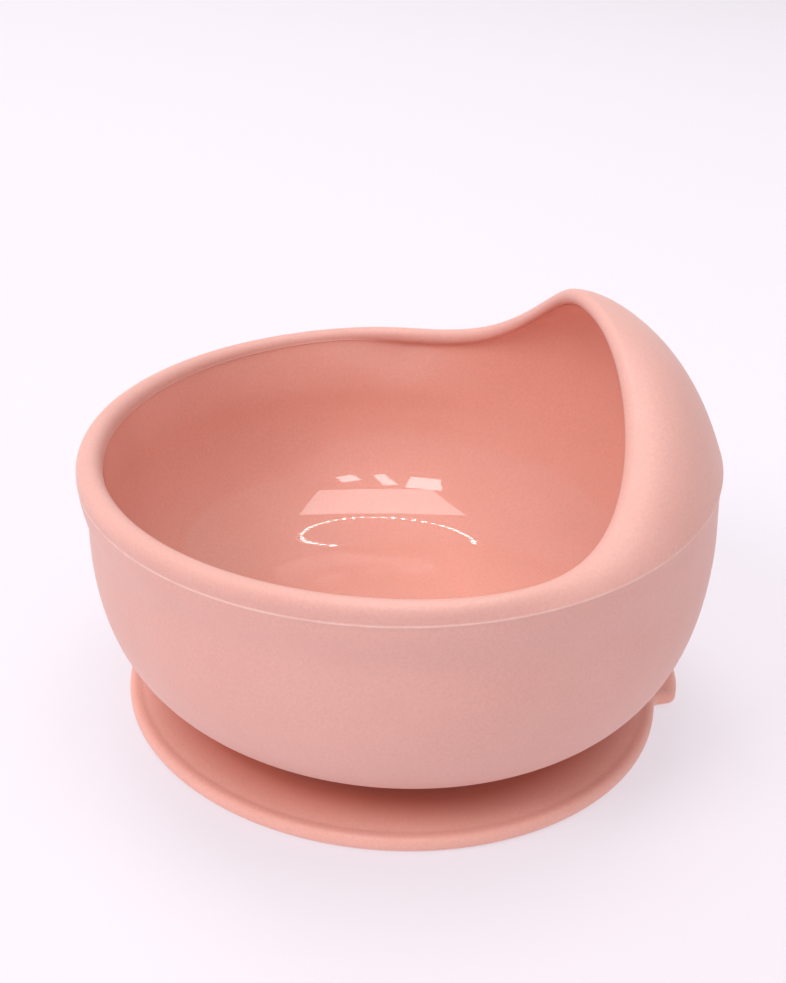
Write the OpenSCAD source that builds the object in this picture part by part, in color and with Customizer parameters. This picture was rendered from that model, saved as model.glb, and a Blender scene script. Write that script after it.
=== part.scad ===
// Baby's suction bowl: a soft silicone bowl with a curled scoop hood, carried by a neck
// on a broad suction foot that has a peel-off tab under the hood.
// The origin is the middle of the foot, on the table. The hood and the tab point along +X.

/* [Bowl] */
// Outer radius of the upright wall
wall_r = 62.1; // [56:0.1:66]
// Height of the flat underside above the table
base_z = 6.8; // [6.5:0.1:9]
// Radius of the flat underside
base_r = 34; // [30:0.5:36]
// Height at which the rounded belly has become the upright wall
shoulder_z = 41.6; // [38:0.1:46]
// How long the belly's curve keeps upright below the wall
belly_pull = 38.8; // [24:0.1:40]
// How long the belly's curve keeps level beyond the flat underside
base_pull = 3; // [1:0.5:8]
// Thickness of the upright wall; the belly below it is thicker, as its inside is rounder
wall_t = 3.6; // [2.5:0.1:4.5]
// Thickness of the floor
floor_t = 4; // [3:0.1:6]
// Radius of the level middle of the floor
floor_r = 10; // [5:0.5:20]
// How long the floor keeps level beyond its middle
floor_pull = 20; // [10:0.5:25]
// How long the inside keeps upright below the wall
inside_belly_pull = 27.6; // [20:0.1:30]

/* [Rim] */
// Radius at the seam, at the bowl's two sides
rim_side_r = 64.7; // [62:0.1:68]
// Radius at the seam, opposite the hood
rim_back_r = 63.7; // [61:0.1:67]
// Radius at the seam, under the hood
rim_hood_r = 60.2; // [58:0.1:64]
// Thickness of the rounded rim, opposite the hood
rim_t = 4.9; // [4:0.1:6]
// Thickness of the rounded edge of the hood
hood_t = 3; // [2.6:0.1:4.5]
// Height of the rim's centre line at the bowl's two sides
rim_z = 55.5; // [52:0.1:60]
// How far the rim's centre line tilts up towards the hood
rim_rise = 2.8; // [0:0.1:3.5]
// Height of the mould seam at the bowl's two sides
seam_z = 54; // [50:0.1:56]
// How far the seam tilts up towards the hood
seam_rise = 4.3; // [2:0.1:5]
// How much higher the seam is on the hood line than at the two sides
seam_wave = 1.9; // [0:0.1:2.5]
// How far the seam's fine flash line stands proud
flash_h = 0.15; // [0.1:0.05:0.4]

/* [Hood] */
// How far the hood rises above the rim
hood_h = 24.1; // [15:0.1:30]
// How far the hood's edge curls in over the bowl
hood_reach = 22.6; // [10:0.1:26]
// Half of the angle round the bowl over which the rim climbs to the hood
hood_spread = 83.5; // [70:0.5:110]
// Half of the angle round the bowl over which the rim curls in
curl_spread = 106; // [80:1:120]
// Slenderness of the hood's outline seen from the front
hood_peak = 1.7; // [1:0.05:2.5]
// Slenderness of the hood's curl seen from above
curl_peak = 1.9; // [0.8:0.05:2.5]
// Flatness of the hood's outline at its top
hood_flat = 1.6; // [1:0.05:2]
// Flatness of the hood's curl at its front
curl_flat = 1.3; // [1:0.05:2]
// How much further the hood's edge bends in than the straight line from wall to edge
hood_bend = 1.8; // [1:0.05:2]
// How much of that line's lean the wall already has at the seam
hood_lean = 0.5; // [0.2:0.05:0.8]

/* [Suction foot] */
// Outer radius of the foot
foot_r = 55.8; // [50:0.1:60]
// Thickness of the foot's beaded edge
edge_t = 3; // [2.6:0.1:4]
// Inner radius of the lip that seals on the table
lip_r = 43; // [40:0.5:45]
// Radius of the neck between foot and bowl
neck_r = 26; // [22:0.5:28]
// Height of the foot's upper face at the neck
foot_top_z = 4; // [3.6:0.1:4.2]
// Height of the suction chamber's ceiling
chamber_z = 2.4; // [2.1:0.1:2.7]

/* [Release tab] */
// Distance of the hinge line from the middle of the foot
hinge_x = 47; // [46.5:0.1:48]
// How far the tab's tip is from the middle of the foot
tab_x = 62.2; // [60:0.1:66]
// Half of the tab's width
tab_w = 16.9; // [14:0.1:20]
// Radius of the tab's long outer edge
tab_edge_r = 34; // [30:0.2:50]
// Radius of the tab's corners
tab_corner_r = 2.6; // [1:0.2:4]
// Thickness of the tab
tab_t = 2.4; // [1.5:0.1:2.8]

/* [Hidden] */
silicone = [0.91, 0.67, 0.63];
silicone_shade = [0.85, 0.57, 0.52];
round_steps = 72;
belly_steps = 14;
hood_steps = 7;
edge_steps = 8;
inner_steps = 12;
wall_steps = 3;
hood_pull = 0.34;
edge_pull = 0.37;
inside_pull = 0.007;
inside_wall_pull = 0.45;
hood_turn_limit = 80;
thin_spread = 159;
thin_power = 0.5;
flash_w = 0.3;
floor_z = base_z + floor_t;
inner_r = wall_r - wall_t;
bead_cut = 0.9;
bead_r = foot_r - 2.1;
bead_proud = 0.15;
plate_edge_z = edge_t - bead_proud;
lip_flat_r = 48.5;
lip_inner_z = 0.9;
neck_gap = 0.05;
hinge_gap = 0.15;
neck_fillet = 1.5;
neck_chamfer = 0.8;
tab_z = 0.3;
far = 100;
$fn = 96;

// Share of the hood's shape that is present at azimuth a: 1 on the hood line, 0 from the spread outwards.
function bell(a, spread, power, flat = 1) =
    abs(a) < spread ? pow(0.5 + 0.5 * cos(180 * pow(abs(a) / spread, flat)), power) : 0;
function heading(angle) = [cos(angle), sin(angle)];
function bezier(p, t) =
    pow(1 - t, 3) * p[0] + 3 * t * pow(1 - t, 2) * p[1] + 3 * t * t * (1 - t) * p[2] + pow(t, 3) * p[3];
function ease(t) = t * t * (3 - 2 * t);
function mix(a, b, t) = a + (b - a) * t;

// A profile lies in a half plane through the axis: x is the radius and y is the height.
function belly_curve(flat_r, low, level_pull, wall, pull) =
    [[flat_r, low], [flat_r + level_pull, low], [wall, shoulder_z - pull], [wall, shoulder_z]];
function rim_r(a) =
    rim_side_r * pow(sin(a), 2) + (cos(a) > 0 ? rim_hood_r : rim_back_r) * pow(cos(a), 2);
function seam(a) =
    [rim_r(a), seam_z + seam_rise * cos(a) + seam_wave * pow(cos(a), 2)];
function half_t(a) = mix(rim_t, hood_t, bell(a, thin_spread, thin_power)) / 2;
function rim_centre(a) = [
    rim_r(a) + flash_h - half_t(a) - hood_reach * bell(a, curl_spread, curl_peak, curl_flat),
    rim_z + rim_rise * cos(a) + hood_h * bell(a, hood_spread, hood_peak, hood_flat)
];
// Lean from upright of the straight line from the middle of the wall at the seam to the rim's centre.
function lean(a) =
    let (line = rim_centre(a) - seam(a) - [flash_h - half_t(a), 0])
    atan2(-line[0], line[1]);
function rim_heading(a) = 90 + min(hood_turn_limit, hood_bend * lean(a));
function hood_curve(a) =
    let (
        low = seam(a) + [0, flash_w],
        high = rim_centre(a) + half_t(a) * heading(rim_heading(a) - 90),
        reach = norm(high - low)
    )
    [
        low,
        low + hood_pull * reach * heading(90 + hood_lean * lean(a)),
        high - edge_pull * reach * heading(rim_heading(a)),
        high
    ];
function inside_curve(a) =
    let (
        high = rim_centre(a) - half_t(a) * heading(rim_heading(a) - 90),
        low = [inner_r, shoulder_z],
        reach = norm(high - low)
    )
    [
        high,
        high - inside_pull * pow(reach, 2) * heading(rim_heading(a)),
        low + [0, inside_wall_pull * reach],
        low
    ];

function outer_belly() =
    let (curve = belly_curve(base_r, base_z, base_pull, wall_r, belly_pull))
    [for (i = [0 : belly_steps]) bezier(curve, i / belly_steps)];
function outer_wall(a) =
    let (top = seam(a) - [0, flash_w])
    [for (i = [1 : wall_steps]) let (t = i / (wall_steps + 1))
        [mix(wall_r, top[0], ease(t)), mix(shoulder_z, top[1], t)]];
function seam_flash(a) =
    [seam(a) - [0, flash_w], seam(a) + [flash_h, 0], seam(a) + [0, flash_w]];
function outer_hood(a) =
    [for (i = [1 : hood_steps]) bezier(hood_curve(a), i / hood_steps)];
function rounded_edge(a) =
    [for (i = [1 : edge_steps])
        rim_centre(a) + half_t(a) * heading(rim_heading(a) - 90 + 180 * i / edge_steps)];
function inside(a) =
    [for (i = [1 : inner_steps]) bezier(inside_curve(a), i / inner_steps)];
function inner_belly() =
    let (curve = belly_curve(floor_r, floor_z, floor_pull, inner_r, inside_belly_pull))
    [for (i = [belly_steps - 1 : -1 : 0]) bezier(curve, i / belly_steps)];
function bowl_profile(a) = concat(
    outer_belly(), outer_wall(a), seam_flash(a), outer_hood(a), rounded_edge(a), inside(a), inner_belly()
);

function azimuth(i) = i <= round_steps / 2 ? 360 * i / round_steps : 360 * i / round_steps - 360;
function turned(p, a) = [p[0] * cos(a), p[0] * sin(a), p[1]];
function fan(centre, start, count, flip) =
    [for (i = [0 : count - 1])
        flip ? [centre, start + (i + 1) % count, start + i] : [centre, start + i, start + (i + 1) % count]];

// Skin of the bowl: one ring of points round the axis for each profile point, closed by two fans.
module bowl() {
    profiles = [for (i = [0 : round_steps - 1]) bowl_profile(azimuth(i))];
    rings = len(profiles[0]);
    skin = [for (k = [0 : rings - 1]) for (i = [0 : round_steps - 1]) turned(profiles[i][k], azimuth(i))];
    under = len(skin);
    sides = [for (k = [0 : rings - 2]) for (i = [0 : round_steps - 1])
        let (
            j = (i + 1) % round_steps,
            low = k * round_steps,
            high = low + round_steps
        )
        each [[low + i, high + i, high + j], [low + i, high + j, low + j]]];
    caps = concat(
        fan(under, 0, round_steps, false),
        fan(under + 1, (rings - 1) * round_steps, round_steps, true)
    );
    points = concat(skin, [[0, 0, profiles[0][0][1]], [0, 0, profiles[0][rings - 1][1]]]);
    color(silicone)
        polyhedron(points = points, faces = concat(sides, caps), convexity = 6);
}

// Solid boss that joins the bowl to the foot; it flares to meet the underside.
module neck() {
    color(silicone_shade)
        rotate_extrude()
            difference() {
                polygon([
                    [0, chamber_z],
                    [neck_r - neck_chamfer, chamber_z],
                    [neck_r, chamber_z + neck_chamfer],
                    [neck_r, base_z - neck_fillet],
                    [neck_r + neck_fillet, base_z - neck_fillet],
                    [neck_r + neck_fillet, base_z],
                    [0, base_z]
                ]);
                translate([neck_r + neck_fillet, base_z - neck_fillet])
                    circle(r = neck_fillet);
            }
}

// Thin sloping skin between neck and lip, which sinks as the bowl is pressed down.
module suction_web() {
    color(silicone_shade)
        rotate_extrude()
            polygon([
                [neck_r + neck_gap, chamber_z],
                [lip_r, lip_inner_z],
                [lip_r, plate_z(lip_r)],
                [neck_r + neck_gap, foot_top_z]
            ]);
}

function plate_z(r) = mix(foot_top_z, plate_edge_z, (r - neck_r) / (bead_r - neck_r));

// Section of the sealing lip: flat on the table, sloping on top, with a chamfered bead at its edge.
module lip_section() {
    polygon([
        [lip_r, lip_inner_z],
        [lip_flat_r, 0],
        [foot_r - bead_cut, 0],
        [foot_r, bead_cut],
        [foot_r, edge_t - bead_cut],
        [foot_r - bead_cut, edge_t],
        [bead_r, edge_t],
        [bead_r - bead_proud, plate_edge_z],
        [lip_r, plate_z(lip_r)]
    ]);
}

module suction_lip() {
    color(silicone_shade)
        difference() {
            rotate_extrude()
                lip_section();
            translate([hinge_x - hinge_gap, -far, -far])
                cube([far, 2 * far, 2 * far]);
        }
}

// Outline of the lobe that is gripped: a long shallow arc with rounded corners.
module tab_outline() {
    arc_x = tab_x - tab_edge_r;
    corner_y = tab_w - tab_corner_r;
    corner_angle = asin(corner_y / (tab_edge_r - tab_corner_r));
    corner_x = arc_x + (tab_edge_r - tab_corner_r) * cos(corner_angle);
    arc_steps = 12;
    hull() {
        polygon([for (i = [-arc_steps : arc_steps])
            [arc_x, 0] + tab_edge_r * heading(corner_angle * i / arc_steps)]);
        for (side = [-1, 1]) {
            translate([corner_x, side * corner_y])
                circle(r = tab_corner_r, $fn = 32);
            translate([hinge_x + 2, side * (tab_w - 1)])
                circle(r = 1, $fn = 16);
        }
    }
}

module release_tab() {
    color(silicone_shade)
        union() {
            intersection() {
                rotate_extrude()
                    lip_section();
                translate([hinge_x + hinge_gap, -far, -far])
                    cube([far, 2 * far, 2 * far]);
            }
            translate([0, 0, tab_z])
                linear_extrude(tab_t)
                    tab_outline();
        }
}

bowl();
neck();
suction_web();
suction_lip();
release_tab();
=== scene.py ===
import math

import bpy
import numpy as np
from mathutils import Matrix, Vector


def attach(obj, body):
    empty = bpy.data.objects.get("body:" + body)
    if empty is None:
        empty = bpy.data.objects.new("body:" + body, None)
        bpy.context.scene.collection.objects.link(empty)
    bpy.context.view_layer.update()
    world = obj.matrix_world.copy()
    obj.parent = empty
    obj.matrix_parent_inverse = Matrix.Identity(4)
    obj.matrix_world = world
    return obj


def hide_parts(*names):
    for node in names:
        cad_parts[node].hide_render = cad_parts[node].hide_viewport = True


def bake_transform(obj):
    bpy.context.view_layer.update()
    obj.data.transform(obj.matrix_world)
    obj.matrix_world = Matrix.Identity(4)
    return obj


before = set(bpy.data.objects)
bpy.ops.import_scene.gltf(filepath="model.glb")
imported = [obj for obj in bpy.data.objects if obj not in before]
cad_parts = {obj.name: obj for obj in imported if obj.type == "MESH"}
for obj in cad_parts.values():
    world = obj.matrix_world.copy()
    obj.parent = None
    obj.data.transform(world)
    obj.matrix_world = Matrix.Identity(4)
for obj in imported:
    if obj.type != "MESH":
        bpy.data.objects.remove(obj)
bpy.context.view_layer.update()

MM = 0.001

# ---- measures in millimetres, as the CAD part has them
WALL_R, WALL_T, FLOOR_T = 62.1, 3.6, 4.0
BASE_Z, BASE_R, SHOULDER_Z, BELLY_PULL, BASE_PULL = 6.8, 34.0, 41.6, 38.8, 3.0
FLOOR_R, FLOOR_PULL, INSIDE_BELLY_PULL = 10.0, 20.0, 27.6
RIM_SIDE_R, RIM_BACK_R, RIM_HOOD_R = 64.7, 63.7, 60.2
RIM_T, HOOD_T, RIM_Z, RIM_RISE = 4.9, 3.0, 55.5, 2.8
THIN_SPREAD, THIN_POWER = 159.0, 0.5
SEAM_Z, SEAM_RISE, SEAM_WAVE = 54.0, 4.3, 1.9
FLASH_H, FLASH_W = 0.15, 0.3
HOOD_H, HOOD_REACH, HOOD_SPREAD, CURL_SPREAD = 24.1, 22.6, 83.5, 106.0
HOOD_PEAK, CURL_PEAK, HOOD_FLAT, CURL_FLAT = 1.7, 1.9, 1.6, 1.3
HOOD_BEND, HOOD_LEAN, HOOD_TURN_LIMIT, HOOD_PULL, EDGE_PULL = 1.8, 0.5, 80.0, 0.34, 0.37
INSIDE_PULL, INSIDE_WALL_PULL = 0.007, 0.45
FOOT_R, EDGE_T, LIP_R, LIP_FLAT_R, LIP_INNER_Z = 55.8, 3.0, 43.0, 48.5, 0.9
NECK_R, FOOT_TOP_Z, CHAMBER_Z, NECK_GAP = 26.0, 4.0, 2.4, 0.05
PLATE_EDGE_Z, BEAD_R = 2.85, 53.7
TAB_X, TAB_W, TAB_EDGE_R, TAB_CORNER_R, TAB_Z, TAB_T = 62.2, 16.9, 34.0, 2.6, 0.3, 2.4

# ---- measures in millimetres of what only the looks have
# the flash line's shoulders: share of its height, and distance above and below the seam
SEAM_SHOULDER, SEAM_HALF_W = 0.6, 0.09
# the fine bead just inside the rim, as (how proud, how far down)
INNER_LINE = ((0.07, 0.10), (0.09, 0.18), (0.07, 0.26), (0.00, 0.34))
TAB_FILLET = 2.0
LOBE_RUN = 4.0  # distance over which the foot's edge turns into the tab's
EDGE_ROUND = 1.35
# section of the foot's beaded edge; the last two distances in are counted from BEAD_IN
BEAD_FLAT_IN, BEAD_IN, BEAD_FOOT_IN, STEP_IN = 1.7, 2.1, 0.35, 0.8
BEAD_DIP, BEAD_FOOT_H, TAB_DIP = 0.05, 0.03, 0.15

# ---- how finely the skins are divided
AZIMUTH_COUNT = 288
UNDERSIDE_RADII, FLOOR_RADII = (6, 14, 22, 29), (7, 4, 2)
BELLY_STEPS, WALL_STEPS, HOOD_STEPS, EDGE_STEPS, INSIDE_STEPS, INNER_BELLY_STEPS = 36, 9, 20, 22, 30, 50
WEB_POINTS = 9
TAB_ARC_POINTS, TAB_CORNER_POINTS, FOOT_ARC_POINTS, LIP_EDGE_POINTS = 40, 12, 130, 19


# ---- bowl profile, one point per azimuth
def bell(a, spread, power, flat=1.0):
    near = np.minimum(np.abs(a) / spread, 1)
    return (0.5 + 0.5 * np.cos(np.pi * near**flat)) ** power


def heading(angle):
    return np.stack([np.cos(np.radians(angle)), np.sin(np.radians(angle))], -1)


def pair(x, z, a):
    return np.stack([np.broadcast_to(x, a.shape), np.broadcast_to(z, a.shape)], -1).astype(float)


def mix(a, b, t):
    return a + (b - a) * t


def ease(t):
    return t * t * (3 - 2 * t)


def bezier(p, t):
    return (1 - t) ** 3 * p[0] + 3 * t * (1 - t) ** 2 * p[1] + 3 * t * t * (1 - t) * p[2] + t**3 * p[3]


def rim_r(a):
    c = np.cos(np.radians(a))
    return RIM_SIDE_R * (1 - c * c) + np.where(c > 0, RIM_HOOD_R, RIM_BACK_R) * c * c


def seam(a):
    c = np.cos(np.radians(a))
    return pair(rim_r(a), SEAM_Z + SEAM_RISE * c + SEAM_WAVE * c * c, a)


def half_t(a):
    return mix(RIM_T, HOOD_T, bell(a, THIN_SPREAD, THIN_POWER)) / 2


def rim_centre(a):
    c = np.cos(np.radians(a))
    return pair(
        rim_r(a) + FLASH_H - half_t(a) - HOOD_REACH * bell(a, CURL_SPREAD, CURL_PEAK, CURL_FLAT),
        RIM_Z + RIM_RISE * c + HOOD_H * bell(a, HOOD_SPREAD, HOOD_PEAK, HOOD_FLAT),
        a,
    )


def lean(a):
    line = rim_centre(a) - seam(a)
    return np.degrees(np.arctan2(FLASH_H - half_t(a) - line[:, 0], line[:, 1]))


def rim_heading(a):
    return 90 + np.minimum(HOOD_TURN_LIMIT, HOOD_BEND * lean(a))


def column(values):
    return values[:, None]


def hood_curve(a):
    low = seam(a) + [0, FLASH_W]
    high = rim_centre(a) + column(half_t(a)) * heading(rim_heading(a) - 90)
    reach = np.linalg.norm(high - low, axis=-1)[:, None]
    return (
        low,
        low + HOOD_PULL * reach * heading(90 + HOOD_LEAN * lean(a)),
        high - EDGE_PULL * reach * heading(rim_heading(a)),
        high,
    )


def inside_curve(a, high):
    low = pair(WALL_R - WALL_T, SHOULDER_Z, a)
    reach = np.linalg.norm(high - low, axis=-1)[:, None]
    return (
        high,
        high - INSIDE_PULL * reach**2 * heading(rim_heading(a)),
        low + INSIDE_WALL_PULL * reach * [0, 1],
        low,
    )


def belly(flat_r, low, level_pull, wall, pull, steps, a):
    """Rings from the edge of the flat middle up to the upright wall."""
    corners = ((flat_r, low), (flat_r + level_pull, low), (wall, SHOULDER_Z - pull), (wall, SHOULDER_Z))
    curve = [pair(x, z, a) for x, z in corners]
    return [bezier(curve, i / steps) for i in range(steps + 1)]


def bowl_rings(a):
    """Rings of (radius, height) from the middle of the underside, over the rim, to the middle of the floor.
    line gives the strength of the two mould lines by ring, and inside_from is the first ring of the
    polished inside."""
    rings, line = [], {}
    rings += [pair(r, BASE_Z, a) for r in UNDERSIDE_RADII]
    rings += belly(BASE_R, BASE_Z, BASE_PULL, WALL_R, BELLY_PULL, BELLY_STEPS, a)
    low = seam(a) - [0, FLASH_W]
    for i in range(1, WALL_STEPS):
        t = i / WALL_STEPS
        rings.append(pair(mix(WALL_R, low[:, 0], ease(t)), mix(SHOULDER_Z, low[:, 1], t), a))
    rings += [
        low,
        seam(a) + [FLASH_H * SEAM_SHOULDER, -SEAM_HALF_W],
        seam(a) + [FLASH_H, 0],
        seam(a) + [FLASH_H * SEAM_SHOULDER, SEAM_HALF_W],
    ]
    line[len(rings) - 2] = 1.0
    line[len(rings) - 1] = line[len(rings) - 3] = 0.5
    curve = hood_curve(a)
    rings += [bezier(curve, i / HOOD_STEPS) for i in range(0, HOOD_STEPS + 1)]
    for i in range(1, EDGE_STEPS + 1):
        turn = rim_heading(a) - 90 + 180 * i / EDGE_STEPS
        rings.append(rim_centre(a) + column(half_t(a)) * heading(turn))
    inner = rings[-1]
    inward = heading(rim_heading(a) + 90)
    down = -heading(rim_heading(a))
    rings += [inner + proud * inward + drop * down for proud, drop in INNER_LINE]
    line[len(rings) - 3] = 0.7
    inside_from = len(rings) - 1
    curve = inside_curve(a, rings[-1])
    rings += [bezier(curve, i / INSIDE_STEPS) for i in range(1, INSIDE_STEPS + 1)]
    floor_z = BASE_Z + FLOOR_T
    upward = belly(FLOOR_R, floor_z, FLOOR_PULL, WALL_R - WALL_T, INSIDE_BELLY_PULL, INNER_BELLY_STEPS, a)
    rings += upward[-2::-1]
    rings += [pair(r, floor_z, a) for r in FLOOR_RADII]
    return rings, line, inside_from


# ---- mesh building
def new_object(name, verts, faces, smooth=True):
    mesh = bpy.data.meshes.new(name)
    mesh.from_pydata([tuple(v) for v in verts], [], faces)
    mesh.validate()
    if smooth:
        mesh.polygons.foreach_set("use_smooth", [True] * len(mesh.polygons))
    mesh.update()
    ob = bpy.data.objects.new(name, mesh)
    bpy.context.scene.collection.objects.link(ob)
    return ob


def ring_faces(rings, count, closed=False):
    faces = []
    for k in range(rings if closed else rings - 1):
        low, high = k * count, ((k + 1) % rings) * count
        for i in range(count):
            j = (i + 1) % count
            faces.append((low + i, low + j, high + j, high + i))
    return faces


def turned(ring, a):
    angle = np.radians(a)
    return np.stack([ring[:, 0] * np.cos(angle), ring[:, 0] * np.sin(angle), ring[:, 1]], -1) * MM


def sharpen(ob, count, rings):
    """Keeps the edges along these rings sharp."""
    mesh = ob.data
    pairs = np.zeros(len(mesh.edges) * 2, int)
    mesh.edges.foreach_get("vertices", pairs)
    pairs = pairs.reshape(-1, 2) // count
    flags = (pairs[:, 0] == pairs[:, 1]) & np.isin(pairs[:, 0], rings)
    attribute = mesh.attributes.get("sharp_edge") or mesh.attributes.new("sharp_edge", "BOOLEAN", "EDGE")
    attribute.data.foreach_set("value", flags)
    mesh.update()


def mark(ob, name, values):
    attribute = ob.data.attributes.new(name, "FLOAT", "POINT")
    attribute.data.foreach_set("value", np.asarray(values, np.float32))


AZIMUTHS = np.arange(AZIMUTH_COUNT) * 360.0 / AZIMUTH_COUNT
AZIMUTHS = np.where(AZIMUTHS > 180, AZIMUTHS - 360, AZIMUTHS)


def make_bowl():
    rings, line, inside_from = bowl_rings(AZIMUTHS)
    count = len(AZIMUTHS)
    verts = np.concatenate([turned(r, AZIMUTHS) for r in rings])
    values = np.zeros(len(verts))
    for k, v in line.items():
        values[k * count:(k + 1) * count] = v
    faces = ring_faces(len(rings), count)
    under, floor = len(verts), len(verts) + 1
    verts = np.concatenate([verts, [[0, 0, rings[0][0, 1] * MM], [0, 0, (BASE_Z + FLOOR_T) * MM]]])
    values = np.append(values, [0, 0])
    last = (len(rings) - 1) * count
    faces += [(under, (i + 1) % count, i) for i in range(count)]
    faces += [(floor, last + i, last + (i + 1) % count) for i in range(count)]
    ob = new_object("bowl_skin", verts, faces)
    mark(ob, "line", values)
    ring_of = np.zeros(len(ob.data.polygons), int)
    for p in ob.data.polygons:
        ring_of[p.index] = min(v for v in p.vertices if v < under) // count
    ob.data.polygons.foreach_set("material_index", (ring_of >= inside_from).astype(int))
    ob.data.update()
    return ob


# ---- foot
def plate_z(r):
    return mix(FOOT_TOP_Z, PLATE_EDGE_Z, (r - NECK_R) / (BEAD_R - NECK_R))


def make_web():
    count = len(AZIMUTHS)
    radii = np.linspace(NECK_R + NECK_GAP, LIP_R, WEB_POINTS)
    section = [(r, plate_z(r)) for r in radii]
    for r in radii[::-1]:
        section.append((r, mix(CHAMBER_Z, LIP_INNER_Z, (r - radii[0]) / (LIP_R - radii[0]))))
    rings = [pair(r, z, AZIMUTHS) for r, z in section]
    verts = np.concatenate([turned(r, AZIMUTHS) for r in rings])
    faces = [f[::-1] for f in ring_faces(len(rings), count, closed=True)]
    ob = new_object("web_skin", verts, faces)
    sharpen(ob, count, [0, WEB_POINTS - 1, WEB_POINTS, 2 * WEB_POINTS - 1])
    return ob


def tab_outline():
    """Outline of the foot with its tab, as points (x, y), anticlockwise from the tab's tip:
    the lobe's long arc, its corner, a concave fillet and the foot's circle, then the same mirrored."""
    arc_x = TAB_X - TAB_EDGE_R
    corner_y = TAB_W - TAB_CORNER_R
    corner_angle = math.degrees(math.asin(corner_y / (TAB_EDGE_R - TAB_CORNER_R)))
    corner_x = arc_x + (TAB_EDGE_R - TAB_CORNER_R) * math.cos(math.radians(corner_angle))
    corner = np.array([corner_x, corner_y])
    # the fillet's centre is its radius away from both the foot's circle and the line y = TAB_W
    fy = TAB_W + TAB_FILLET
    fx = math.sqrt((FOOT_R + TAB_FILLET) ** 2 - fy * fy)
    fillet_start = math.degrees(math.atan2(fy, fx))
    if fx > corner_x:
        raise ValueError("the tab's corner is inside its fillet")

    def arc(centre, radius, start, end, points):
        return [centre + radius * heading(mix(start, end, t)) for t in np.linspace(0, 1, points)]

    half = arc(np.array([arc_x, 0]), TAB_EDGE_R, 0, corner_angle, TAB_ARC_POINTS)
    half += arc(corner, TAB_CORNER_R, corner_angle, 90, TAB_CORNER_POINTS)[1:]
    half += arc(np.array([fx, fy]), TAB_FILLET, -90, -180 + fillet_start, TAB_CORNER_POINTS)
    half += arc(np.zeros(2), FOOT_R, fillet_start, 180, FOOT_ARC_POINTS)[1:]
    half = np.array(half)
    other = half[1:-1][::-1] * [1, -1]
    return np.concatenate([half, other])


def make_lip():
    outline = tab_outline()
    count = len(outline)
    ahead, behind = np.roll(outline, -1, 0), np.roll(outline, 1, 0)
    along = (ahead - outline) / np.linalg.norm(ahead - outline, axis=1)[:, None]
    along += (outline - behind) / np.linalg.norm(outline - behind, axis=1)[:, None]
    along /= np.linalg.norm(along, axis=1)[:, None]
    inward = np.stack([-along[:, 1], along[:, 0]], -1)
    angle = np.arctan2(outline[:, 1], outline[:, 0])
    radius = np.linalg.norm(outline, axis=1)
    lobe = ease(np.clip((radius - FOOT_R) / LOBE_RUN, 0, 1))[:, None]
    bottom = TAB_Z * lobe
    top = mix(EDGE_T, TAB_Z + TAB_T, lobe)
    half_t = (top - bottom) / 2
    middle = (top + bottom) / 2
    rings = []

    def at(xy, z):
        rings.append(np.concatenate([xy, np.broadcast_to(z, (count, 1))], 1))

    circle = np.stack([np.cos(angle), np.sin(angle)], -1)
    at(circle * LIP_R, LIP_INNER_Z)
    at(circle * mix(LIP_R, LIP_FLAT_R, 0.5), LIP_INNER_Z / 2)
    at(circle * LIP_FLAT_R, 0.0)
    for t in (0.35, 0.7):
        at(mix(circle * LIP_FLAT_R, outline + inward * EDGE_ROUND, t), bottom * t)
    corner = np.minimum(EDGE_ROUND, half_t)
    for s in np.linspace(-90, 90, LIP_EDGE_POINTS):
        c, h = math.cos(math.radians(s)), math.sin(math.radians(s))
        # two quarter circles, with a short upright stretch between them
        z = middle + np.sign(h) * (half_t - corner) + corner * h if abs(h) > 1e-6 else middle
        at(outline + inward * (EDGE_ROUND - EDGE_ROUND * c), z)
    tab_top = TAB_Z + TAB_T - TAB_DIP
    at(outline + inward * BEAD_FLAT_IN, top)
    at(outline + inward * BEAD_IN, top - BEAD_DIP)
    at(outline + inward * (BEAD_IN + BEAD_FOOT_IN), mix(PLATE_EDGE_Z, tab_top, lobe) + BEAD_FOOT_H)
    step_xy = outline + inward * (BEAD_IN + STEP_IN)
    step_z = mix(plate_z(FOOT_R - BEAD_IN - STEP_IN), tab_top, lobe)
    at(step_xy, step_z)
    inner_xy = circle * LIP_R
    for t in (0.15, 0.3, 0.5, 0.75, 1.0):
        at(mix(step_xy, inner_xy, t), mix(step_z, plate_z(LIP_R), t))
    verts = np.concatenate(rings) * MM
    faces = ring_faces(len(rings), count, closed=True)
    ob = new_object("lip_and_tab_skin", verts, faces)
    sharpen(ob, count, [0, len(rings) - 1])
    return ob


# ---- materials
class Tree:
    """A small helper that adds nodes to a material and links them."""

    def __init__(self, name):
        self.material = bpy.data.materials.new(name)
        self.material.use_nodes = True
        self.nodes = self.material.node_tree.nodes
        self.links = self.material.node_tree.links
        self.nodes.clear()

    def add(self, kind, **values):
        node = self.nodes.new(kind)
        for key, value in values.items():
            setattr(node, key, value)
        return node

    def surface(self, kind, **values):
        """Adds the shader that makes up the whole surface, with these constants on its sockets."""
        out = self.add("ShaderNodeOutputMaterial")
        shader = self.add(kind)
        self.links.new(shader.outputs[0], out.inputs["Surface"])
        for key, value in values.items():
            shader.inputs[key.replace("_", " ")].default_value = value
        return shader

    def put(self, socket, value):
        if isinstance(value, bpy.types.NodeSocket):
            self.links.new(value, socket)
        else:
            socket.default_value = value


def noise(tree, where, scale, detail=2.0, rough=0.5):
    node = tree.add("ShaderNodeTexNoise")
    tree.put(node.inputs["Vector"], where)
    tree.put(node.inputs["Scale"], scale)
    tree.put(node.inputs["Detail"], detail)
    tree.put(node.inputs["Roughness"], rough)
    return node.outputs["Fac"]


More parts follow.
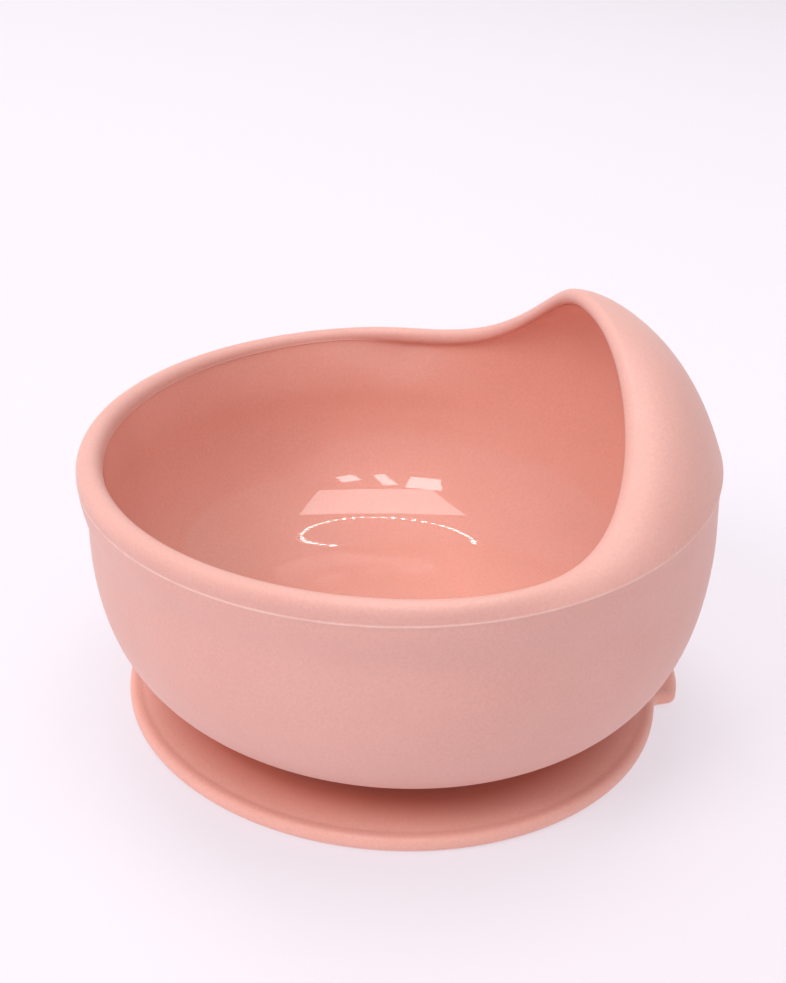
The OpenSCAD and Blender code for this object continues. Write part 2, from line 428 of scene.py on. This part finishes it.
def to_range(tree, value, low, high, from_low=0.3, from_high=0.7):
    node = tree.add("ShaderNodeMapRange")
    tree.put(node.inputs["Value"], value)
    tree.put(node.inputs["From Min"], from_low)
    tree.put(node.inputs["From Max"], from_high)
    tree.put(node.inputs["To Min"], low)
    tree.put(node.inputs["To Max"], high)
    return node.outputs["Result"]


def mix_colour(tree, factor, a, b):
    node = tree.add("ShaderNodeMix", data_type="RGBA")
    tree.put(node.inputs["Factor"], factor)
    # 6, 7 and 2 are the sockets A, B and Result of the colour kind
    tree.put(node.inputs[6], a)
    tree.put(node.inputs[7], b)
    return node.outputs[2]


def bump(tree, where, scale, detail, rough, depth):
    node = tree.add("ShaderNodeBump")
    node.inputs["Strength"].default_value = 1.0
    tree.put(node.inputs["Distance"], depth)
    tree.put(node.inputs["Height"], noise(tree, where, scale, detail, rough))
    return node


# scale, detail and roughness of each noise; the scale is in cycles per metre
MOTTLE, GRAIN, SMUDGE = (38.0, 3.0, 0.55), (1900.0, 2.0, 0.6), (95.0, 4.0, 0.6)
WAVE_BUMP, TEXTURE_BUMP = (60.0, 1.0, 0.5), (2600.0, 3.0, 0.6)
LINE_BREAK_SCALE, LINE_FAINT, LINE_STRONG = 260.0, 0.25, 0.6
GRAIN_SHARE, GRAIN_DARK = 0.26, 0.72
# colours are linear
LINE_COLOUR = (0.98, 0.78, 0.72)
# radii between which the foot darkens towards the neck. This is paint: it stands in for the dark gap
# under the belly, deeper than the lights alone make it.
SHADE_FROM, SHADE_TO = 45.0, 52.5
FLOOR_COLOUR = (0.35, 0.32, 0.35)
FLOOR_GLOW, FLOOR_GLOW_COLOUR = 0.53, (0.98, 0.93, 0.99)
WORLD_COLOUR, WORLD_STRENGTH = (1.0, 0.98, 1.0), 0.56


def silicone(name, colour, deep, rough, grain, wave, sheen, glow, line=False, shade=None):
    """Moulded silicone. colour and deep are the two ends of its slight mottling; rough is a range.
    grain is the depth in metres of the mould's fine texture and wave that of its slow unevenness."""
    tree = Tree(name)
    shader = tree.surface(
        "ShaderNodeBsdfPrincipled", Subsurface_Weight=glow, Subsurface_Radius=(1.0, 0.42, 0.30),
        Subsurface_Scale=0.0016, IOR=1.42, Sheen_Weight=sheen, Sheen_Roughness=0.45)
    where = tree.add("ShaderNodeTexCoord").outputs["Object"]
    slow = noise(tree, where, *MOTTLE)
    fine = noise(tree, where, *GRAIN)
    dark = [c * GRAIN_DARK for c in deep]
    base = mix_colour(tree, to_range(tree, slow, 0.0, 1.0), (*colour, 1), (*deep, 1))
    base = mix_colour(tree, to_range(tree, fine, 0.0, GRAIN_SHARE), base, (*dark, 1))
    if line:
        mould_line = tree.add("ShaderNodeAttribute", attribute_name="line").outputs["Fac"]
        broken = tree.add("ShaderNodeMath", operation="MULTIPLY")
        tree.put(broken.inputs[0], mould_line)
        patches = noise(tree, where, LINE_BREAK_SCALE)
        tree.put(broken.inputs[1], to_range(tree, patches, LINE_FAINT, LINE_STRONG))
        base = mix_colour(tree, broken.outputs[0], base, (*LINE_COLOUR, 1))
    if shade:
        radius = tree.add("ShaderNodeVectorMath", operation="LENGTH")
        level = tree.add("ShaderNodeVectorMath", operation="MULTIPLY")
        tree.put(level.inputs[0], where)
        level.inputs[1].default_value = (1, 1, 0)
        tree.put(radius.inputs[0], level.outputs["Vector"])
        near = to_range(tree, radius.outputs["Value"], 1.0, 0.0, SHADE_FROM * MM, SHADE_TO * MM)
        base = mix_colour(tree, near, base, (*shade, 1))
    tree.put(shader.inputs["Base Color"], base)
    tree.put(shader.inputs["Roughness"], to_range(tree, noise(tree, where, *SMUDGE), *rough))
    wavy = bump(tree, where, *WAVE_BUMP, wave)
    textured = bump(tree, where, *TEXTURE_BUMP, grain)
    tree.put(textured.inputs["Normal"], wavy.outputs["Normal"])
    tree.put(shader.inputs["Normal"], textured.outputs["Normal"])
    return tree.material


def floor_material():
    tree = Tree("floor")
    tree.surface(
        "ShaderNodeBsdfPrincipled", Base_Color=(*FLOOR_COLOUR, 1), Roughness=0.8,
        Emission_Color=(*FLOOR_GLOW_COLOUR, 1), Emission_Strength=FLOOR_GLOW)
    return tree.material


OUTSIDE = silicone(
    "silicone_outside", (0.735, 0.397, 0.345), (0.71, 0.372, 0.32),
    rough=(0.50, 0.60), grain=1.2e-5, wave=2e-5, sheen=0.12, glow=0.15, line=True)
INSIDE = silicone(
    "silicone_inside", (0.79, 0.405, 0.335), (0.765, 0.378, 0.31),
    rough=(0.02, 0.045), grain=2e-7, wave=1.2e-5, sheen=0.0, glow=0.15)
FOOT = silicone(
    "silicone_foot", (0.84, 0.435, 0.365), (0.815, 0.41, 0.34),
    rough=(0.42, 0.55), grain=1.2e-5, wave=2e-5, sheen=0.08, glow=0.1, shade=(0.60, 0.19, 0.135))

# ---- build
bowl = make_bowl()
bowl.data.materials.append(OUTSIDE)
bowl.data.materials.append(INSIDE)
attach(bowl, "bowl")
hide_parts("bowl")

web = make_web()
web.data.materials.append(FOOT)
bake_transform(web)
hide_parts("suction_web")

lip = make_lip()
lip.data.materials.append(FOOT)
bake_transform(lip)
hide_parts("suction_lip", "release_tab")

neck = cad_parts["neck"]
neck.data.materials.clear()
neck.data.materials.append(FOOT)
for polygon in neck.data.polygons:
    polygon.material_index = 0

# ---- floor, light, camera
FLOOR_HALF = 3.0
floor_corners = [(x * FLOOR_HALF, y * FLOOR_HALF, 0) for x, y in ((-1, -1), (1, -1), (1, 1), (-1, 1))]
floor = new_object("floor", floor_corners, [(0, 1, 2, 3)])
floor.data.materials.append(floor_material())

world = bpy.data.worlds.new("studio")
world.use_nodes = True
background = world.node_tree.nodes["Background"]
background.inputs["Color"].default_value = (*WORLD_COLOUR, 1)
background.inputs["Strength"].default_value = WORLD_STRENGTH
bpy.context.scene.world = world
bpy.context.scene.view_settings.view_transform = "Standard"


def aimed(ob, place, target, roll=0.0):
    ob.location = place
    ob.rotation_mode = "QUATERNION"
    turn = (Vector(target) - Vector(place)).to_track_quat("-Z", "Y")
    ob.rotation_quaternion = turn @ Matrix.Rotation(math.radians(roll), 4, "Z").to_quaternion()


def soft_light(name, place, target, width, height, power):
    data = bpy.data.lights.new(name, "AREA")
    data.shape = "RECTANGLE"
    data.size, data.size_y = width, height
    data.energy = power
    ob = bpy.data.objects.new(name, data)
    bpy.context.scene.collection.objects.link(ob)
    aimed(ob, place, target)
    ob.visible_glossy = False


# place, target, width, height, power
LIGHTS = {
    "key": ((-1.5, -0.7, 1.5), (0, 0, 0.04), 0.9, 0.9, 21.5),
    "front": ((-0.3, -2.0, 1.1), (0, 0, 0.03), 1.0, 0.8, 7.0),
    "top": ((0.0, 0.2, 2.0), (0, 0, 0.03), 1.0, 1.0, 11.5),
    "back": ((-0.6, 1.6, 1.6), (0, 0, 0.03), 1.0, 1.0, 12.5),
    "right": ((1.7, -0.4, 1.2), (0, 0, 0.03), 1.0, 1.0, 2.0),
}
for light_name, values in LIGHTS.items():
    soft_light(light_name, *values)


def glowing(name, colour, strength):
    tree = Tree(name)
    tree.surface("ShaderNodeEmission", Color=(*colour, 1), Strength=strength)
    return tree.material


def reflected_only(ob, material):
    """Studio lamps and windows that show only as reflections in the polished inside."""
    ob.data.materials.append(material)
    ob.visible_camera = False
    ob.visible_diffuse = False
    ob.visible_shadow = False
    ob.visible_transmission = False
    ob.visible_volume_scatter = False


def panel(name, x, y, z, width, depth, turn, material):
    """A level rectangle overhead, turned about the vertical."""
    c, t = math.cos(math.radians(turn)), math.sin(math.radians(turn))
    w, d = width / 2, depth / 2
    corners = ((-w, -d), (w, -d), (w, d), (-w, d))
    verts = [(x + u * c - v * t, y + u * t + v * c, z) for u, v in corners]
    reflected_only(new_object(name, verts, [(0, 3, 2, 1)], smooth=False), material)


def ring_lamp(name, middle, half_width, half_depth, lamps, lamp_r, material):
    """A level ring of small round lamps overhead."""
    verts, faces = [], []
    for i in range(lamps):
        turn = 2 * math.pi * i / lamps
        x, y = middle[0] + half_width * math.cos(turn), middle[1] + half_depth * math.sin(turn)
        faces.append(tuple(len(verts) + k for k in range(LAMP_SIDES)))
        for k in range(LAMP_SIDES):
            spin = 2 * math.pi * k / LAMP_SIDES
            verts.append((x + lamp_r * math.cos(spin), y + lamp_r * math.sin(spin), middle[2]))
    reflected_only(new_object(name, verts, faces, smooth=False), material)


WINDOW_COLOUR, LAMP_COLOUR = (1.0, 0.97, 1.0), (1.0, 1.0, 1.0)
LAMP_SIDES = 8
PANEL_Z = 1.0  # metres
WINDOW = glowing("window_glow", WINDOW_COLOUR, 6.0)
PANE = glowing("pane_glow", WINDOW_COLOUR, 12.0)
LAMP = glowing("lamp_glow", LAMP_COLOUR, 55.0)
# x, y, z, width, depth, turn in degrees
panel("window_front", 0.10, -0.04, PANEL_Z, 0.60, 0.42, 0.0, WINDOW)
panel("pane_1", 0.26, -0.50, PANEL_Z, 0.13, 0.16, 30.0, PANE)
panel("pane_2", 0.03, -0.46, PANEL_Z, 0.08, 0.26, 12.0, PANE)
panel("pane_3", -0.20, -0.38, PANEL_Z, 0.20, 0.26, -20.0, PANE)
ring_lamp("ring_lamp", (0.13, 0.45, PANEL_Z), 0.21, 0.22, 44, 0.0075, LAMP)

CAMERA_PLACE, CAMERA_TARGET, CAMERA_ROLL = (-0.04501, -0.23071, 0.16097), (0.00359, 0.03056, 0.0293), 3.026
LENS = 47.61
camera_data = bpy.data.cameras.new("camera")
camera_data.lens = LENS
camera_data.sensor_width = 36.0
camera_data.clip_start, camera_data.clip_end = 0.01, 30.0
camera = bpy.data.objects.new("camera", camera_data)
bpy.context.scene.collection.objects.link(camera)
aimed(camera, CAMERA_PLACE, CAMERA_TARGET, CAMERA_ROLL)
bpy.context.scene.camera = camera
